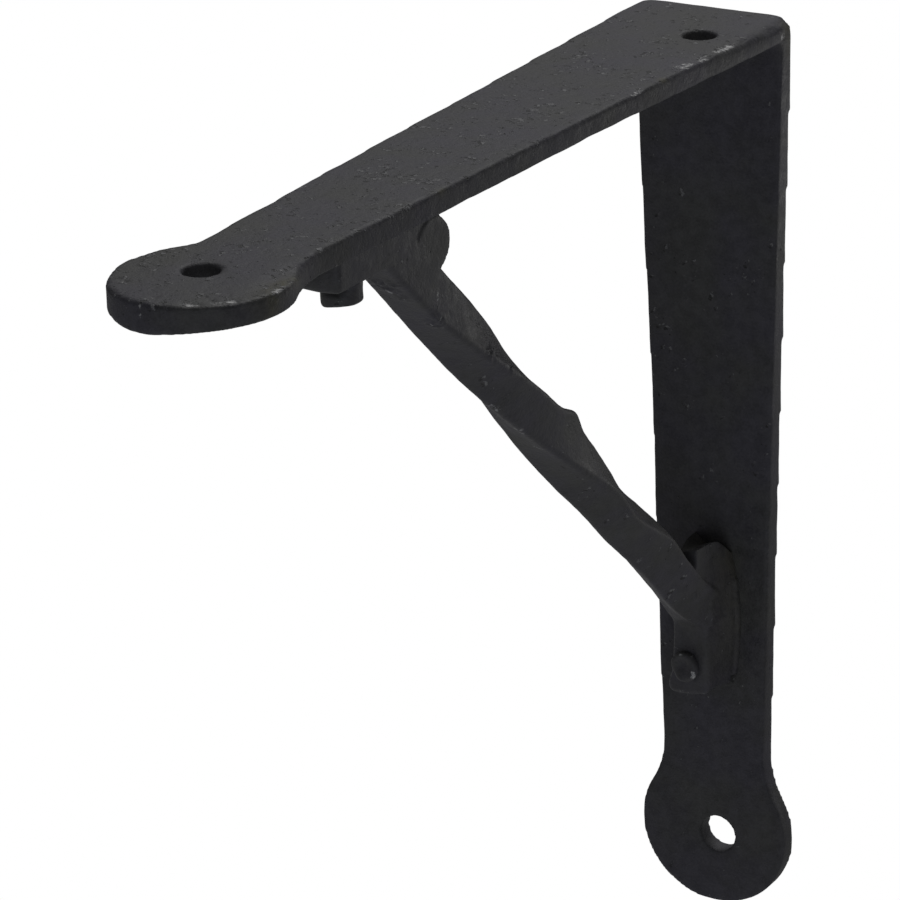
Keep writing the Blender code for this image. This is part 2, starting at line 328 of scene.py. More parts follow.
def bulge(piece):
    """How far each vertex stands out from its neighbours: 0 on flats, more on sharp edges."""
    places, outward = skin_of(piece)
    ends = np.empty(len(piece.data.edges) * 2, dtype=np.int32)
    piece.data.edges.foreach_get("vertices", ends)
    ends = ends.reshape(-1, 2)
    value = np.zeros(len(places))
    count = np.zeros(len(places))
    for here, there in ((0, 1), (1, 0)):
        step = places[ends[:, there]] - places[ends[:, here]]
        value += np.bincount(ends[:, here], -(step * outward[ends[:, here]]).sum(axis=1), len(places))
        count += np.bincount(ends[:, here], minlength=len(places))
    return value / np.maximum(count, 1)


def sharp_edges(edges, voxel, start, growth, most):
    """Wear where the skin stands out more than a start, growing up to its most."""
    return np.clip((edges / voxel - start) * growth, 0.0, most)


def paint(piece, name, values):
    """Keep one value from 0 to 1 at each vertex, for the material to read."""
    layer = piece.data.attributes.new(name, "FLOAT", "POINT")
    layer.data.foreach_set("value", np.clip(values, 0.0, 1.0))


# Hammer marks, ripples and pits all over the bar: how wide, how deep, and the noise's seed
BAR_HAMMERING = ((0.0105, 0.00008, 1.0), (0.0034, 0.00004, 2.0), (0.0013, 0.00002, 3.0))
# Hand-forged unevenness: place, how far it spreads and how far it moves the skin, all in mm
BAR_FORGING = (
    ((-2.5, -152.0, -3.5), (6.5, 8.0, 1.9), (0.0, 0.0, -0.85)),
    ((-9.5, -134.0, -1.7), (3.5, 3.0, 4.0), (-0.75, 0.35, 0.0)),
    ((-12.0, -146.0, -1.7), (3.5, 3.0, 4.0), (0.40, 0.0, 0.0)),
    ((9.5, -135.0, 0.0), (1.6, 7.5, 1.0), (-0.45, 0.0, -0.55)),
    ((10.5, -141.0, -3.5), (4.0, 7.0, 1.6), (-0.20, 0.0, 0.15)),
    ((9.5, -55.0, -3.5), (6.0, 32.0, 1.6), (0.0, 0.0, 0.32)),
    ((-9.5, -88.0, -1.7), (3.0, 26.0, 3.0), (-0.20, 0.0, 0.0)),
    ((12.6, -9.0, 0.0), (1.6, 14.0, 1.0), (-0.35, 0.0, -0.60)),
    ((-10.3, -1.7, -62.0), (3.0, 3.0, 24.0), (0.55, 0.0, 0.0)),
    ((8.3, -1.7, -110.0), (3.0, 3.0, 30.0), (0.20, 0.0, 0.0)),
)
# Chips and rubbed places on the bar: place, how far each spreads, all in mm, and how bare it is
CHIP_DEPTH = 0.00028
BAR_CHIPS = (
    ((11.3, -18.4, 0.0), (0.9, 2.6, 0.7), 1.15), ((11.0, -21.2, 0.0), (0.6, 1.2, 0.5), 0.8),
    ((11.0, -25.7, 0.0), (0.9, 1.9, 0.6), 0.95), ((10.4, -30.5, 0.0), (1.1, 1.9, 0.6), 1.0),
    ((11.9, -14.2, 0.0), (0.5, 1.0, 0.4), 0.7), ((10.7, -44.9, 0.0), (0.7, 1.0, 0.5), 0.9),
    ((10.6, -46.4, 0.0), (0.5, 0.6, 0.4), 0.9), ((12.3, -2.4, 0.0), (0.6, 1.4, 0.7), 0.9),
    ((5.8, -53.9, 0.0), (0.5, 0.6, 0.3), 0.9), ((4.3, -151.4, 0.0), (1.0, 0.5, 0.5), 1.0),
    ((5.6, -150.8, 0.0), (0.6, 0.5, 0.5), 0.9), ((7.3, -149.2, 0.0), (0.9, 0.6, 0.5), 1.0),
    ((8.6, -147.8, 0.0), (1.0, 0.8, 0.5), 1.1), ((-0.9, -150.9, 0.0), (0.5, 0.5, 0.3), 0.9),
    ((-8.0, -147.4, 0.0), (0.5, 0.4, 0.3), 0.9), ((6.1, -148.6, 0.0), (0.6, 0.4, 0.3), 0.7),
    ((11.4, -141.6, -0.2), (0.6, 0.9, 0.6), 1.0), ((11.0, -139.0, 0.0), (0.5, 1.4, 0.5), 0.9),
    ((12.0, -143.6, -0.9), (0.4, 0.6, 0.5), 1.1), ((9.9, -135.4, 0.0), (0.5, 0.9, 0.4), 0.8),
    ((12.5, -3.0, -2.6), (0.6, 1.0, 0.7), 0.8), ((12.4, -6.0, -0.4), (0.5, 1.6, 0.5), 0.8),
    ((-1.4, -153.3, -1.3), (0.3, 0.6, 1.4), 0.7), ((2.0, -16.1, 0.0), (0.6, 0.7, 0.3), 0.7),
    ((7.7, -13.4, 0.0), (0.7, 0.6, 0.3), 0.8), ((9.0, -14.5, 0.0), (0.5, 0.5, 0.3), 0.7),
    ((3.0, -0.2, -87.9), (0.6, 0.6, 0.8), 0.3),
)
# Greenish-brown patina; the olive patch in the crotch is patina and also painted light, lifting the
# shade there, and the rounded corner where arm meets leg, on the right, is paler olive. Place and how
# far it spreads in mm, and how strong it is
BAR_STAINS_AND_LIGHT = (
    ((10.2, -138.5, -0.4), (1.3, 5.5, 1.6), 1.0), ((12.4, -143.2, -1.5), (1.2, 2.0, 2.5), 1.0),
    ((11.2, -38.1, 0.0), (0.8, 1.0, 0.6), 1.0), ((9.3, -97.1, 0.0), (0.7, 1.2, 0.8), 0.9),
    ((12.5, -1.0, -2.5), (1.0, 2.2, 4.0), 0.8), ((0.2, -5.0, -90.0), (3.6, 2.5, 2.6), 0.9),
    ((3.5, -4.0, -98.0), (2.5, 2.0, 11.0), 0.35),
    ((-6.0, -10.0, 0.0), (6.0, 12.0, 1.0), 0.12), ((-8.0, -128.0, 0.0), (5.0, 22.0, 1.0), 0.12),
)
places, outward = skin_of(bar)
edge_before = bulge(bar)
marks = [rolling(places, size, seed) for size, depth, seed in BAR_HAMMERING]
ripple = marks[1]
relief = sum(row[1] * mark for row, mark in zip(BAR_HAMMERING, marks))
relief -= CHIP_DEPTH * cover(places, BAR_CHIPS)
places = hammer(places + outward * relief[:, None], BAR_FORGING)
places = np.clip(places, np.array(bar_low), np.array(bar_high))
reshape(bar, places)


def node_group(name, inputs, outputs):
    """An empty shader group with named inputs (name, kind, value) and outputs (name, kind)."""
    group = bpy.data.node_groups.new(name, "ShaderNodeTree")
    for label, kind, value in inputs:
        socket = group.interface.new_socket(label, in_out="INPUT", socket_type=kind)
        if value is not None:
            socket.default_value = value
    for label, kind in outputs:
        group.interface.new_socket(label, in_out="OUTPUT", socket_type=kind)
    return group


def node(tree, kind, values=None, **settings):
    """Add a node, set its properties, and feed its inputs with numbers or other nodes' outputs."""
    made = tree.nodes.new(kind)
    for label, setting in settings.items():
        setattr(made, label, setting)
    for label, value in (values or {}).items():
        if isinstance(value, bpy.types.NodeSocket):
            tree.links.new(value, made.inputs[label])
        else:
            made.inputs[label].default_value = value
    return made


def ramp(tree, value, low, high, to_low=0.0, to_high=1.0):
    """Stretch a value from one range to another, clamped at both ends."""
    return node(tree, "ShaderNodeMapRange", {"Value": value, "From Min": low, "From Max": high,
                                             "To Min": to_low, "To Max": to_high}).outputs["Result"]


def blend(tree, share, one, other):
    """Mix two colours by a share from 0 to 1."""
    return node(tree, "ShaderNodeMix", {0: share, 6: one, 7: other}, data_type="RGBA").outputs[2]


def combine(tree, operation, one, other):
    return node(tree, "ShaderNodeMath", {0: one, 1: other}, operation=operation).outputs[0]


def clouds(tree, place, scale, detail, roughness):
    return node(tree, "ShaderNodeTexNoise", {"Vector": place, "Scale": scale, "Detail": detail,
                                             "Roughness": roughness})


# Grain: how coarse each layer is beside the fine grain or the patches, the part of each noise's
# range that is used, how much each layer tells in the tone, and where a speck's painted shade lies
COARSE_SHARE = 0.22
FLECK_SHARE = 0.42
TEAR_SHARE = 0.6
DRIFT_SHARE = 2.3
COARSE_SPAN = (0.38, 0.62)
FINE_SPAN = (0.36, 0.64)
DRIFT_SPAN = (0.40, 0.66, -0.09, 0.04)
BARE_OF_SPECKS = -0.09
FLECK_SPAN = (0.60, 0.66)
TEAR_SPAN = (0.38, 0.62, -0.75, 0.5)
COARSE_TONE = 0.45
FINE_TONE = 0.35
PATCH_TONE = 0.20
PIT_SHADE_BESIDE = (0.0004, 0.0002, 0.0004)
FINE_HEIGHT = 0.5
COARSE_HEIGHT = 1.2
FLECK_HEIGHT = 0.6


def make_grain():
    """Fine iron grain in a piece's own space: tone, hue, specks painted as glints with a painted shade
    beside each, and a height for all.
    """
    group = node_group("iron_grain", (
        ("Vector", "NodeSocketVector", None),
        ("Patch Scale", "NodeSocketFloat", 70.0),
        ("Grain Scale", "NodeSocketFloat", 2200.0),
        ("Crowding", "NodeSocketFloat", 1.0),
    ), (("Tone", "NodeSocketFloat"), ("Hue", "NodeSocketFloat"), ("Glint Specks", "NodeSocketFloat"),
        ("Pit Shade", "NodeSocketFloat"), ("Ragged", "NodeSocketFloat"), ("Height", "NodeSocketFloat")))
    inside = node(group, "NodeGroupInput").outputs
    place = inside["Vector"]

    def scaled(label, factor):
        return combine(group, "MULTIPLY", inside[label], factor)

    patches = clouds(group, place, inside["Patch Scale"], 3.0, 0.6)
    coarse = clouds(group, place, scaled("Grain Scale", COARSE_SHARE), 3.0, 0.65).outputs["Fac"]
    fine = clouds(group, place, inside["Grain Scale"], 2.0, 0.7).outputs["Fac"]
    tone = combine(group, "ADD", ramp(group, coarse, *COARSE_SPAN, 0.0, COARSE_TONE),
                   combine(group, "ADD", ramp(group, fine, *FINE_SPAN, 0.0, FINE_TONE),
                           ramp(group, patches.outputs["Fac"], *FINE_SPAN, 0.0, PATCH_TONE)))
    hue = node(group, "ShaderNodeSeparateColor", {"Color": patches.outputs["Color"]}).outputs[1]

    # Pale specks gather in drifts as painted glints, and each has a dark painted shade on its lower
    # left, sunk as a pit
    drifts = clouds(group, place, scaled("Patch Scale", DRIFT_SHARE), 2.0, 0.6).outputs["Fac"]
    gather = combine(group, "ADD", ramp(group, drifts, *DRIFT_SPAN),
                     ramp(group, inside["Crowding"], 0.0, 1.0, BARE_OF_SPECKS, 0.0))
    beside = node(group, "ShaderNodeVectorMath", {0: place, 1: PIT_SHADE_BESIDE},
                  operation="ADD").outputs[0]
    marks = []
    for where in (place, beside):
        flecks = clouds(group, where, scaled("Grain Scale", FLECK_SHARE), 2.5, 0.6).outputs["Fac"]
        marks.append(ramp(group, combine(group, "ADD", flecks, gather), *FLECK_SPAN))
    glint_specks, pit_shading = marks
    torn = clouds(group, place, scaled("Grain Scale", TEAR_SHARE), 3.0, 0.7).outputs["Fac"]
    rough = combine(group, "ADD", combine(group, "MULTIPLY", fine, FINE_HEIGHT),
                    combine(group, "MULTIPLY", coarse, COARSE_HEIGHT))
    bumps = combine(group, "SUBTRACT", combine(group, "MULTIPLY", glint_specks, FLECK_HEIGHT),
                    combine(group, "MULTIPLY", pit_shading, FLECK_HEIGHT))
    node(group, "NodeGroupOutput", {"Tone": tone, "Hue": ramp(group, hue, *COARSE_SPAN),
                                    "Glint Specks": glint_specks, "Pit Shade": pit_shading,
                                    "Ragged": ramp(group, torn, *TEAR_SPAN),
                                    "Height": combine(group, "ADD", rough, bumps)})
    return group


iron_grain = make_grain()

# How strongly the finish shows its patina, which is also painted light in the crotch, the painted
# shade beside each speck and the specks painted as glints, how far wear and painted highlights go
# before the pale colour shows, as bare iron and as painted highlights, and how much smoother bare iron
# is
PATINA_AND_LIGHT_SPAN = (0.25, 0.7, 0.45, 1.0)
PIT_SHADE_STRENGTH = 0.85
GLINT_SPECK_STRENGTH = 0.9
BARE_AND_HIGHLIGHT_SPAN = (0.40, 0.85)
BARE_POLISH = 0.2


def iron_finish(name, colours, values):
    """Blackened iron: a mottled scale with pale specks painted as glints and a painted shade beside
    each, stained (the crotch's patch also painted light), with painted highlights in places, and
    rubbed bare.
    """
    material = bpy.data.materials.new(name)
    material.use_nodes = True
    tree = material.node_tree
    shader = tree.nodes["Principled BSDF"]
    place = node(tree, "ShaderNodeTexCoord").outputs["Object"]
    grain = node(tree, "ShaderNodeGroup", node_tree=iron_grain)
    tree.links.new(place, grain.inputs["Vector"])
    for label in ("Patch Scale", "Grain Scale"):
        grain.inputs[label].default_value = values[label]
    glint_speckled = node(tree, "ShaderNodeAttribute", attribute_name="glint_speckled").outputs["Fac"]
    tree.links.new(glint_speckled, grain.inputs["Crowding"])
    wear_and_highlights = node(tree, "ShaderNodeAttribute", attribute_name="wear_and_highlights").outputs["Fac"]
    stained_and_lit = node(tree, "ShaderNodeAttribute", attribute_name="stained_and_lit").outputs["Fac"]
    paint_of = {label: (*rgb, 1.0) for label, rgb in colours.items()}
    cool = blend(tree, grain.outputs["Tone"], paint_of["dark cool"], paint_of["pale cool"])
    warm = blend(tree, grain.outputs["Tone"], paint_of["dark warm"], paint_of["pale warm"])
    colour = blend(tree, grain.outputs["Hue"], cool, warm)
    stain_and_light = combine(tree, "MULTIPLY", stained_and_lit, ramp(tree, grain.outputs["Tone"], *PATINA_AND_LIGHT_SPAN))
    pit_shading = combine(tree, "MULTIPLY", grain.outputs["Pit Shade"], PIT_SHADE_STRENGTH)
    glint_specks = combine(tree, "MULTIPLY", grain.outputs["Glint Specks"], GLINT_SPECK_STRENGTH)
    torn = combine(tree, "MULTIPLY", grain.outputs["Ragged"], wear_and_highlights)
    bright = ramp(tree, combine(tree, "ADD", wear_and_highlights, torn), *BARE_AND_HIGHLIGHT_SPAN)
    # Patina, also painted light in the crotch; then the painted shade beside each speck, the specks
    # painted as glints, and the pale colour of bare iron and of painted highlights
    colour = blend(tree, stain_and_light, colour, paint_of["patina_and_light"])
    colour = blend(tree, pit_shading, colour, paint_of["pit_shade"])
    colour = blend(tree, glint_specks, colour, paint_of["speck_glint"])
    colour = blend(tree, bright, colour, paint_of["bare_and_highlight"])
    tree.links.new(colour, shader.inputs["Base Color"])
    roughness = ramp(tree, grain.outputs["Tone"], 0.0, 1.0, values["Smoothest"], values["Roughest"])
    polish = combine(tree, "MULTIPLY", bright, BARE_POLISH)
    tree.links.new(combine(tree, "SUBTRACT", roughness, polish),
                   shader.inputs["Roughness"])
    bump = node(tree, "ShaderNodeBump", {"Height": grain.outputs["Height"], "Strength": values["Bump"],
                                         "Distance": values["Bump Depth"]})
    tree.links.new(bump.outputs["Normal"], shader.inputs["Normal"])
    shader.inputs["Specular IOR Level"].default_value = values["Gloss"]
    return material


# Colours of each finish: the pit colour is the painted shade beside each speck, the speck colour a
# painted glint, the bare colour also that of painted highlights, and the patina colour also painted
# light in the crotch
bar_finish = iron_finish("blackened_bar", {
    "dark cool": (0.029, 0.028, 0.036), "pale cool": (0.066, 0.064, 0.076),
    "dark warm": (0.029, 0.029, 0.029), "pale warm": (0.066, 0.066, 0.066),
    "patina_and_light": (0.080, 0.077, 0.055), "pit_shade": (0.018, 0.018, 0.018), "speck_glint": (0.140, 0.140, 0.145),
    "bare_and_highlight": (0.38, 0.38, 0.38)},
    {"Patch Scale": 75.0, "Grain Scale": 2300.0, "Smoothest": 0.5, "Roughest": 0.75,
     "Bump": 0.9, "Bump Depth": 0.00018, "Gloss": 0.25})

# Wear, and specks painted as glints: most on the arm's top and its edges, and patchy along them
TOP_DEPTH = 0.0022
TOP_FADE = 0.0012
LOWER_WEAR = 0.25
BAR_EDGE_WEAR = (0.12, 3.0, 0.36)
LEAST_RUB = 0.6
RUB_SPREAD = 0.8
BAR_RUB = 0.4
FACES_UP = 0.5
FEW_SPECKS = 0.15
on_top = np.clip((places[:, 2] - TOP + TOP_DEPTH) / TOP_FADE, 0.0, 1.0)
wear_and_highlights = sharp_edges(edge_before, BAR_VOXEL, *BAR_EDGE_WEAR) * (LOWER_WEAR + (1 - LOWER_WEAR) * on_top)
wear_and_highlights *= LEAST_RUB + RUB_SPREAD * np.clip(ripple + BAR_RUB, 0.0, 1.0)
paint(bar, "wear_and_highlights", wear_and_highlights + cover(places, BAR_CHIPS))
paint(bar, "glint_speckled", np.where(outward[:, 2] > FACES_UP, on_top, FEW_SPECKS))
paint(bar, "stained_and_lit", cover(places, BAR_STAINS_AND_LIGHT))
bar.data.materials.append(bar_finish)
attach(bar, "root")
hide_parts("l_bar")


# Twisted brace: a square iron bar given half a turn hot, its ends bent to lie flat along the arm
# and the leg. Hammer marks and loose scale are left on its faces, and a heel swells at the top bend.
BRACE_SIDE = 0.0068
EDGE_ROUND = 0.0008
BEND_RADIUS = 0.0060
UPPER_PAD_END = 0.1146
UPPER_BEND = 0.1006
LOWER_BEND = 0.0970
LOWER_PAD_END = 0.1108
CLEARANCE = 0.0003
END_ROUND = 0.0008
TWIST = ((0.06, 0.0), (0.15, 5.0), (0.24, 24.0), (0.36, 61.0), (0.51, 100.0), (0.63, 135.0),
         (0.75, 142.0), (0.82, 152.0), (0.93, 148.0), (0.99, 180.0))
TWIST_STEPS = 110
BEND_STEPS = 6
PAD_STEPS = 5
FACE_CUTS = 4
CORNER_STEPS = 5
TIP_STEPS = 4
TWIST_EASE = 0.025
EASE_STEPS = 9
HEEL_SIDES = 48
BRACE_VOXEL = 0.00026
BRACE_SOFTENING = 2
HEEL_RADIUS = 0.0044
HEEL_OUT = 0.0902
HEEL_DROP = 0.0111
# Iron squeezed out beside the bends: the shoulder under the arm, the mass above the foot, and the
# foot's own face on the leg. Lowest and highest corners in mm, heights from the shelf face.
BRACE_FILLS = (
    ((-3.2, -100.2, -10.5), (3.2, -88.2, -3.5)),
    ((-3.0, -15.5, -91.5), (3.7, -2.6, -83.0)),
    ((-3.0, -10.5, -98.0), (3.7, -2.6, -86.0)),
    ((-3.2, -4.3, -108.8), (4.1, -2.6, -92.0)),
)

pad_middle = BAR_THICK + CLEARANCE + BRACE_SIDE / 2
run = UPPER_BEND - pad_middle
drop = LOWER_BEND - pad_middle
slant = math.atan2(drop, run)
upper_back = BEND_RADIUS * math.tan(slant / 2)
lower_back = BEND_RADIUS * math.tan((math.pi / 2 - slant) / 2)
diagonal = math.hypot(run, drop)
twisted_length = diagonal - upper_back - lower_back


def twist_at(share):
    """The turn at a share of the diagonal, in degrees, eased between the named turns."""
    shares = [point[0] for point in TWIST]
    turns = [point[1] for point in TWIST]
    spread = np.linspace(-TWIST_EASE, TWIST_EASE, EASE_STEPS)
    return float(np.mean(np.interp(share + spread, shares, turns)))


def grow(move, turn=0.0, axis="Z", centre=(0.0, 0.0, 0.0)):
    """Extrude the selected end of the bar, then turn it clockwise about an axis."""
    bpy.ops.mesh.extrude_region_move(TRANSFORM_OT_translate={"value": move})
    if turn:
        bpy.ops.transform.rotate(value=turn, orient_axis=axis, center_override=centre)


def grow_pad(turn, bend_centre, heading, length):
    """Bend the selected end over, run it on straight, and round its tip."""
    for _ in range(BEND_STEPS):
        grow((0.0, 0.0, 0.0), turn / BEND_STEPS, "X", bend_centre)
    for _ in range(PAD_STEPS):
        grow(heading * length / PAD_STEPS)
    bpy.ops.mesh.region_to_loop()
    bpy.ops.mesh.bevel(offset=END_ROUND, segments=TIP_STEPS, affect="EDGES")


bpy.ops.mesh.primitive_plane_add(size=BRACE_SIDE)
brace = bpy.context.object
bpy.ops.object.mode_set(mode="EDIT")
bpy.ops.mesh.select_all(action="SELECT")
bpy.ops.mesh.subdivide(number_cuts=FACE_CUTS)
bpy.ops.mesh.select_all(action="DESELECT")
bpy.ops.object.mode_set(mode="OBJECT")
inside_corner = BRACE_SIDE * 0.49
for vertex in brace.data.vertices:
    vertex.select = min(abs(vertex.co.x), abs(vertex.co.y)) > inside_corner
bpy.ops.object.mode_set(mode="EDIT")
bpy.ops.mesh.select_mode(type="VERT")
bpy.ops.mesh.bevel(offset=EDGE_ROUND, segments=CORNER_STEPS, affect="VERTICES")
bpy.ops.mesh.select_mode(type="FACE")
bpy.ops.mesh.select_all(action="SELECT")
step = twisted_length / TWIST_STEPS
turned = twist_at(upper_back / diagonal)
for count in range(1, TWIST_STEPS + 1):
    turn = twist_at((upper_back + count * step) / diagonal)
    grow((0.0, 0.0, step), math.radians(turn - turned), "Z", (0.0, 0.0, count * step))
    turned = turn
lower_heading = Vector((0.0, math.cos(slant), math.sin(slant)))
grow_pad(math.pi / 2 - slant, (0.0, BEND_RADIUS, twisted_length), lower_heading,
         LOWER_PAD_END - LOWER_BEND - lower_back)
bpy.ops.mesh.select_all(action="DESELECT")
bpy.ops.object.mode_set(mode="OBJECT")
for face in brace.data.polygons:
    face.select = abs(face.center.z) < step / 10 and face.normal.z < -0.9
bpy.ops.object.mode_set(mode="EDIT")
upper_heading = Vector((0.0, math.sin(slant), -math.cos(slant)))
grow_pad(-slant, (0.0, BEND_RADIUS, 0.0), upper_heading, UPPER_PAD_END - UPPER_BEND - upper_back)
bpy.ops.mesh.select_all(action="SELECT")
bpy.ops.mesh.normals_make_consistent(inside=False)
bpy.ops.object.mode_set(mode="OBJECT")
start_of_twist = Vector((0.0, -UPPER_BEND, TOP - pad_middle))
start_of_twist += Vector((0.0, math.cos(slant), -math.sin(slant))) * upper_back
brace.rotation_euler = (-math.pi / 2 - slant, 0.0, 0.0)
brace.location = start_of_twist

bpy.ops.mesh.primitive_cylinder_add(vertices=HEEL_SIDES, radius=HEEL_RADIUS, depth=BRACE_SIDE,
                                    location=(0.0, -HEEL_OUT, TOP - HEEL_DROP),
                                    rotation=(0.0, math.pi / 2, 0.0))
parts = [brace, bpy.context.object]
for low, high in BRACE_FILLS:
    low, high = Vector(low) / 1000, Vector(high) / 1000
    bpy.ops.mesh.primitive_cube_add(size=1.0, location=(low + high) / 2 + Vector((0.0, 0.0, TOP)))
    fill = bpy.context.object
    fill.scale = high - low
    parts.append(fill)
brace = join(parts, "half_turn_brace")
weld_skin(brace, BRACE_VOXEL, BRACE_SOFTENING)

# Hand-forged unevenness on the brace: a lump on the twist, a spread foot and pads beaten on to the
# bar. Place, how far it spreads and how far it moves the skin, all in mm.
BRACE_FORGING = (
    ((3.0, -51.8, -49.4), (3.0, 3.4, 3.4), (0.0, 0.85, 0.85)),
    ((2.5, -33.5, -68.6), (5.0, 5.5, 5.5), (0.0, -0.85, -0.85)),
    ((2.5, -22.5, -77.5), (5.0, 4.5, 4.5), (0.0, 0.50, 0.60)),
    ((-3.4, -8.0, -109.5), (2.2, 5.0, 2.2), (-1.0, 0.0, 0.0)),
    ((3.4, -3.6, -99.0), (2.5, 2.6, 10.0), (1.2, 0.0, 0.0)),
    ((3.4, -8.0, -110.5), (3.0, 4.0, 2.0), (0.0, 0.0, 1.3)),
    ((0.0, -3.6, -103.0), (6.0, 1.2, 9.0), (0.0, 0.45, 0.0)),
    ((0.0, -110.0, -3.6), (6.0, 9.0, 1.2), (0.0, 0.0, 0.45)),
    ((0.0, -115.0, -9.0), (2.0, 2.0, 2.5), (0.0, -0.6, 0.0)),
    ((3.4, -88.0, -13.8), (3.0, 2.2, 2.6), (0.0, -0.5, 0.35)),
    ((-1.2, -10.5, -101.0), (2.6, 2.2, 3.0), (0.0, 0.6, 0.0)),
    ((-3.4, -11.0, -83.0), (4.4, 5.0, 6.0), (0.0, 0.0, -4.5)),
    ((2.0, -2.6, -83.0), (5.0, 4.5, 5.0), (0.0, 0.0, -5.5)),
)
# Wide hammer marks and ripples all over the brace: how wide, how deep, and the noise's seed
BRACE_HAMMERING = (0.0045, 0.00006, 5.0)
BRACE_RIPPLES = (0.0018, 0.00003, 6.0)
# Loose scale that stands up from the faces: how high, how wide its pieces are, the noise's seed, how
# closely they lie and how bare they are, and then each patch's place, spread in mm and strength
FLAKE_HEIGHT = 0.00040
FLAKE_SIZE = 0.0007
FLAKE_SEED = 7.0
FLAKE_COVER = 0.5
FLAKE_SPREAD = 1.6
FLAKE_WEAR = 0.55
BRACE_FLAKES = (
    ((-1.0, -98.1, -14.3), (1.2, 1.2, 1.2), 0.9), ((1.6, -98.2, -14.0), (1.1, 1.0, 1.0), 0.8),
    ((0.2, -96.6, -15.6), (1.3, 0.9, 0.9), 0.9), ((1.0, -94.9, -17.1), (1.2, 1.0, 1.0), 1.0),
    ((2.4, -89.0, -22.2), (1.3, 1.3, 1.3), 1.0), ((3.2, -90.2, -21.0), (0.9, 0.8, 0.8), 0.7),
    ((4.0, -77.0, -31.2), (1.1, 1.6, 1.6), 0.9), ((4.1, -72.0, -35.0), (0.8, 1.1, 1.1), 0.7),
    ((0.6, -87.6, -26.0), (0.7, 0.7, 0.7), 0.6),
)
# Rubbed places on the brace, four broad paler marks along its lower edge, the last two marks painted
# highlights on the foot's lower rim, and stains, in the same way
BRACE_RUBS_AND_HIGHLIGHTS = (
    ((3.5, -89.7, -18.2), (0.6, 0.35, 1.2), 0.8), ((3.2, -54.6, -49.1), (0.5, 0.5, 0.5), 0.8),
    ((3.7, -56.6, -52.7), (0.5, 0.5, 0.5), 0.8), ((0.8, -46.8, -63.9), (0.5, 0.7, 0.7), 0.7),
    ((2.8, -17.2, -90.7), (0.5, 0.6, 0.9), 0.8), ((1.1, -71.4, -41.0), (1.3, 1.8, 1.8), 0.55),
    ((1.4, -65.4, -46.3), (1.3, 2.6, 2.6), 0.50), ((1.5, -60.0, -51.0), (1.3, 2.2, 2.2), 0.45),
    ((1.9, -30.5, -79.8), (1.2, 2.5, 2.5), 0.35), ((-2.0, -10.3, -110.3), (2.2, 1.0, 0.6), 0.5),
    ((1.9, -10.4, -109.8), (1.5, 1.0, 0.6), 0.4),
)
# The first stain, in the crotch, is olive patina that is also painted light, lifting the shade there
BRACE_STAINS_AND_LIGHT = (
    ((0.0, -5.0, -89.0), (4.5, 4.0, 3.0), 0.9), ((4.0, -5.0, -98.0), (2.5, 4.0, 9.0), 0.4),
)
BRACE_EDGE_WEAR = (0.10, 4.0, 0.42)
BRACE_RUB = 0.3
BRACE_SPECKS = 0.25
places, outward = skin_of(brace)
edge_before = bulge(brace)
size, depth, seed = BRACE_RIPPLES
ripple = rolling(places, size, seed)
relief = depth * ripple
size, depth, seed = BRACE_HAMMERING
relief += depth * rolling(places, size, seed)
torn = rolling(places, FLAKE_SIZE, FLAKE_SEED)
flakes = cover(places, BRACE_FLAKES) * np.clip(FLAKE_COVER + FLAKE_SPREAD * torn, 0.0, 1.0)
relief += FLAKE_HEIGHT * flakes
places = hammer(places + outward * relief[:, None], BRACE_FORGING)
reshape(brace, np.clip(places, np.array(cad_box[0]), np.array(cad_box[1])))
brace_finish = iron_finish("blackened_brace", {
    "dark cool": (0.032, 0.031, 0.038), "pale cool": (0.066, 0.064, 0.075),
    "dark warm": (0.032, 0.032, 0.032), "pale warm": (0.066, 0.066, 0.065),
    "patina_and_light": (0.075, 0.070, 0.050), "pit_shade": (0.020, 0.020, 0.020), "speck_glint": (0.150, 0.150, 0.155),
    "bare_and_highlight": (0.36, 0.36, 0.37)},
    {"Patch Scale": 110.0, "Grain Scale": 1900.0, "Smoothest": 0.45, "Roughest": 0.7,
     "Bump": 0.9, "Bump Depth": 0.00018, "Gloss": 0.3})
wear_and_highlights = sharp_edges(edge_before, BRACE_VOXEL, *BRACE_EDGE_WEAR)
wear_and_highlights *= LEAST_RUB + RUB_SPREAD * np.clip(ripple + BRACE_RUB, 0.0, 1.0)
paint(brace, "wear_and_highlights", wear_and_highlights + FLAKE_WEAR * flakes + cover(places, BRACE_RUBS_AND_HIGHLIGHTS))
paint(brace, "glint_speckled", np.full(len(places), BRACE_SPECKS))
paint(brace, "stained_and_lit", cover(places, BRACE_STAINS_AND_LIGHT))
brace.data.materials.append(brace_finish)
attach(brace, "root")
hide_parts("twisted_brace")


# Rivets: a soft iron rivet holds each flat end of the brace. Its head was hammered over on the
# inside, peg-like under the arm and dimpled on the leg, and its other end was beaten flush.
RIVET_RADIUS = 0.0019
RIVET_VOXEL = 0.00016
RIVET_SOFTENING = 3
RIVET_SIDES = 48
RIM_STEPS = 4
RIVET_HAMMERING = (0.0016, 0.00009, 11.0)
RIVET_EDGE_WEAR = (0.08, 4.0, 0.30)
HEAD_ROOT = 0.0008
SHANK_SUNK = 0.0003
ARM_RIVET_OUT = 0.1089
LEG_RIVET_DOWN = 0.1052
LEG_RIVET_LEFT = 0.0006

rivet_finish = iron_finish("blackened_rivet", {
    "dark cool": (0.031, 0.030, 0.036), "pale cool": (0.064, 0.062, 0.070),
    "dark warm": (0.031, 0.031, 0.031), "pale warm": (0.064, 0.064, 0.062),
    "patina_and_light": (0.075, 0.070, 0.050), "pit_shade": (0.018, 0.018, 0.018), "speck_glint": (0.150, 0.150, 0.155),
    "bare_and_highlight": (0.40, 0.40, 0.40)},
    {"Patch Scale": 200.0, "Grain Scale": 2100.0, "Smoothest": 0.45, "Roughest": 0.7,
     "Bump": 0.9, "Bump Depth": 0.00016, "Gloss": 0.3})


